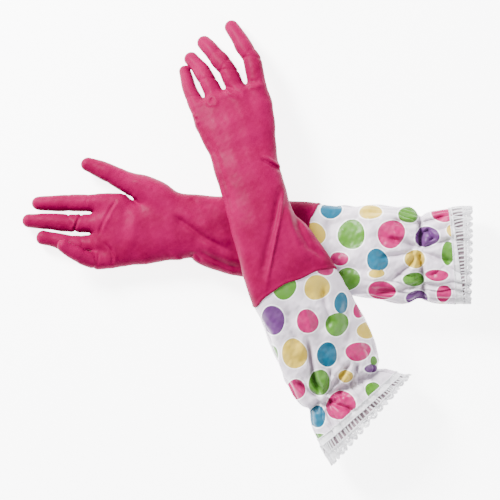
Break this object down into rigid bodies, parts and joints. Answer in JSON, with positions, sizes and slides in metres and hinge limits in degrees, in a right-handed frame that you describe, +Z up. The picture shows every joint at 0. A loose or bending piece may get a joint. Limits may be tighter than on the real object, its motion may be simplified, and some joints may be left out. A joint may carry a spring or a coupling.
{
  "type": "rubber gloves",
  "caption": "Pair of long pink rubber household gloves with spotted elasticated sleeves and white lace trim, laid crossed on a surface.",
  "frame": {"origin": "on the surface the gloves lie on, under the middle of the pair", "axes": "+Z up from the surface; +X along the lower, right glove from fingers to sleeve; +Y towards the fingers of the upper, left glove"},
  "size_m": [0.4921, 0.4789, 0.0962],
  "materials": {
    "glove_rubber": "satin",
    "sleeve_print": "satin",
    "elastic_band": "matte",
    "join_band": "matte",
    "lace": "matte",
    "thread": "matte"
  },
  "bodies": {
    "right_forearm": {"right_gauntlet": "glove_rubber", "right_hem_bead": "glove_rubber", "right_join_band": "join_band", "right_sleeve": "sleeve_print", "right_side_seam": "sleeve_print", "right_elastic": "elastic_band", "right_elastic_casing": "sleeve_print", "right_lace_tape": "lace", "right_lace_stitching": "thread", "right_lace_ladder": "lace", "right_lace_edging": "lace"},
    "right_hand": {"right_palm": "glove_rubber"},
    "right_thumb": {"right_thumb": "glove_rubber"},
    "right_index": {"right_index": "glove_rubber"},
    "right_middle": {"right_middle": "glove_rubber"},
    "right_ring": {"right_ring": "glove_rubber"},
    "right_little": {"right_little": "glove_rubber"},
    "left_forearm": {"left_gauntlet": "glove_rubber", "left_hem_bead": "glove_rubber", "left_join_band": "join_band", "left_sleeve": "sleeve_print", "left_side_seam": "sleeve_print", "left_elastic": "elastic_band", "left_elastic_casing": "sleeve_print", "left_lace_tape": "lace", "left_lace_stitching": "thread", "left_lace_ladder": "lace", "left_lace_edging": "lace"},
    "left_hand": {"left_palm": "glove_rubber"},
    "left_thumb": {"left_thumb": "glove_rubber"},
    "left_index": {"left_index": "glove_rubber"},
    "left_middle": {"left_middle": "glove_rubber"},
    "left_ring": {"left_ring": "glove_rubber"},
    "left_little": {"left_little": "glove_rubber"}
  },
  "joints": [
    {"name": "right_wrist_bend", "type": "hinge", "parent": "right_forearm", "child": "right_hand", "pos_m": [-0.071, 0.017, 0.0195], "axis": [0, 1, 0], "range_deg": [0, 45], "stiffness_Nm_per_rad": 0.4},
    {"name": "right_thumb_bend", "type": "hinge", "parent": "right_hand", "child": "right_thumb", "pos_m": [-0.13, 0.062, 0.017], "axis": [0.4112, 0.9115, 0], "range_deg": [0, 45], "stiffness_Nm_per_rad": 0.05},
    {"name": "right_index_bend", "type": "hinge", "parent": "right_hand", "child": "right_index", "pos_m": [-0.172, 0.0426, 0.015], "axis": [0, 1, 0], "range_deg": [0, 75], "stiffness_Nm_per_rad": 0.05},
    {"name": "right_middle_bend", "type": "hinge", "parent": "right_hand", "child": "right_middle", "pos_m": [-0.172, 0.02, 0.015], "axis": [0, 1, 0], "range_deg": [0, 75], "stiffness_Nm_per_rad": 0.05},
    {"name": "right_ring_bend", "type": "hinge", "parent": "right_hand", "child": "right_ring", "pos_m": [-0.172, -0.002, 0.015], "axis": [0, 1, 0], "range_deg": [0, 75], "stiffness_Nm_per_rad": 0.05},
    {"name": "right_little_bend", "type": "hinge", "parent": "right_hand", "child": "right_little", "pos_m": [-0.172, -0.0215, 0.02], "axis": [0, 1, 0], "range_deg": [0, 75], "stiffness_Nm_per_rad": 0.05},
    {"name": "left_lift_off", "type": "slide", "parent": "right_forearm", "child": "left_forearm", "axis": [0, 0, 1], "range_m": [0, 0.12]},
    {"name": "left_wrist_bend", "type": "hinge", "parent": "left_forearm", "child": "left_hand", "pos_m": [-0.008, 0.091, 0.0515], "axis": [0.9656, 0.2599, 0], "range_deg": [0, 35], "stiffness_Nm_per_rad": 0.4},
    {"name": "left_thumb_swing", "type": "hinge", "parent": "left_hand", "child": "left_thumb", "pos_m": [0.011, 0.105, 0.0205], "axis": [0, 0, -1], "range_deg": [0, 60], "stiffness_Nm_per_rad": 0.05},
    {"name": "left_index_bend", "type": "hinge", "parent": "left_hand", "child": "left_index", "pos_m": [0.0045, 0.177, 0.0325], "axis": [0.913, 0.408, 0], "range_deg": [0, 45], "stiffness_Nm_per_rad": 0.05},
    {"name": "left_middle_bend", "type": "hinge", "parent": "left_hand", "child": "left_middle", "pos_m": [-0.0185, 0.1705, 0.0325], "axis": [0.8202, 0.5721, 0], "range_deg": [0, 45], "stiffness_Nm_per_rad": 0.05},
    {"name": "left_ring_bend", "type": "hinge", "parent": "left_hand", "child": "left_ring", "pos_m": [-0.041, 0.1615, 0.032], "axis": [0.8415, 0.5403, 0], "range_deg": [0, 45], "stiffness_Nm_per_rad": 0.05},
    {"name": "left_little_bend", "type": "hinge", "parent": "left_hand", "child": "left_little", "pos_m": [-0.061, 0.1505, 0.0315], "axis": [0.9447, 0.3279, 0], "range_deg": [0, 45], "stiffness_Nm_per_rad": 0.05}
  ],
  "couplings": [
    {"joint": "right_little_bend", "follows": "right_ring_bend", "ratio": 1}
  ]
}
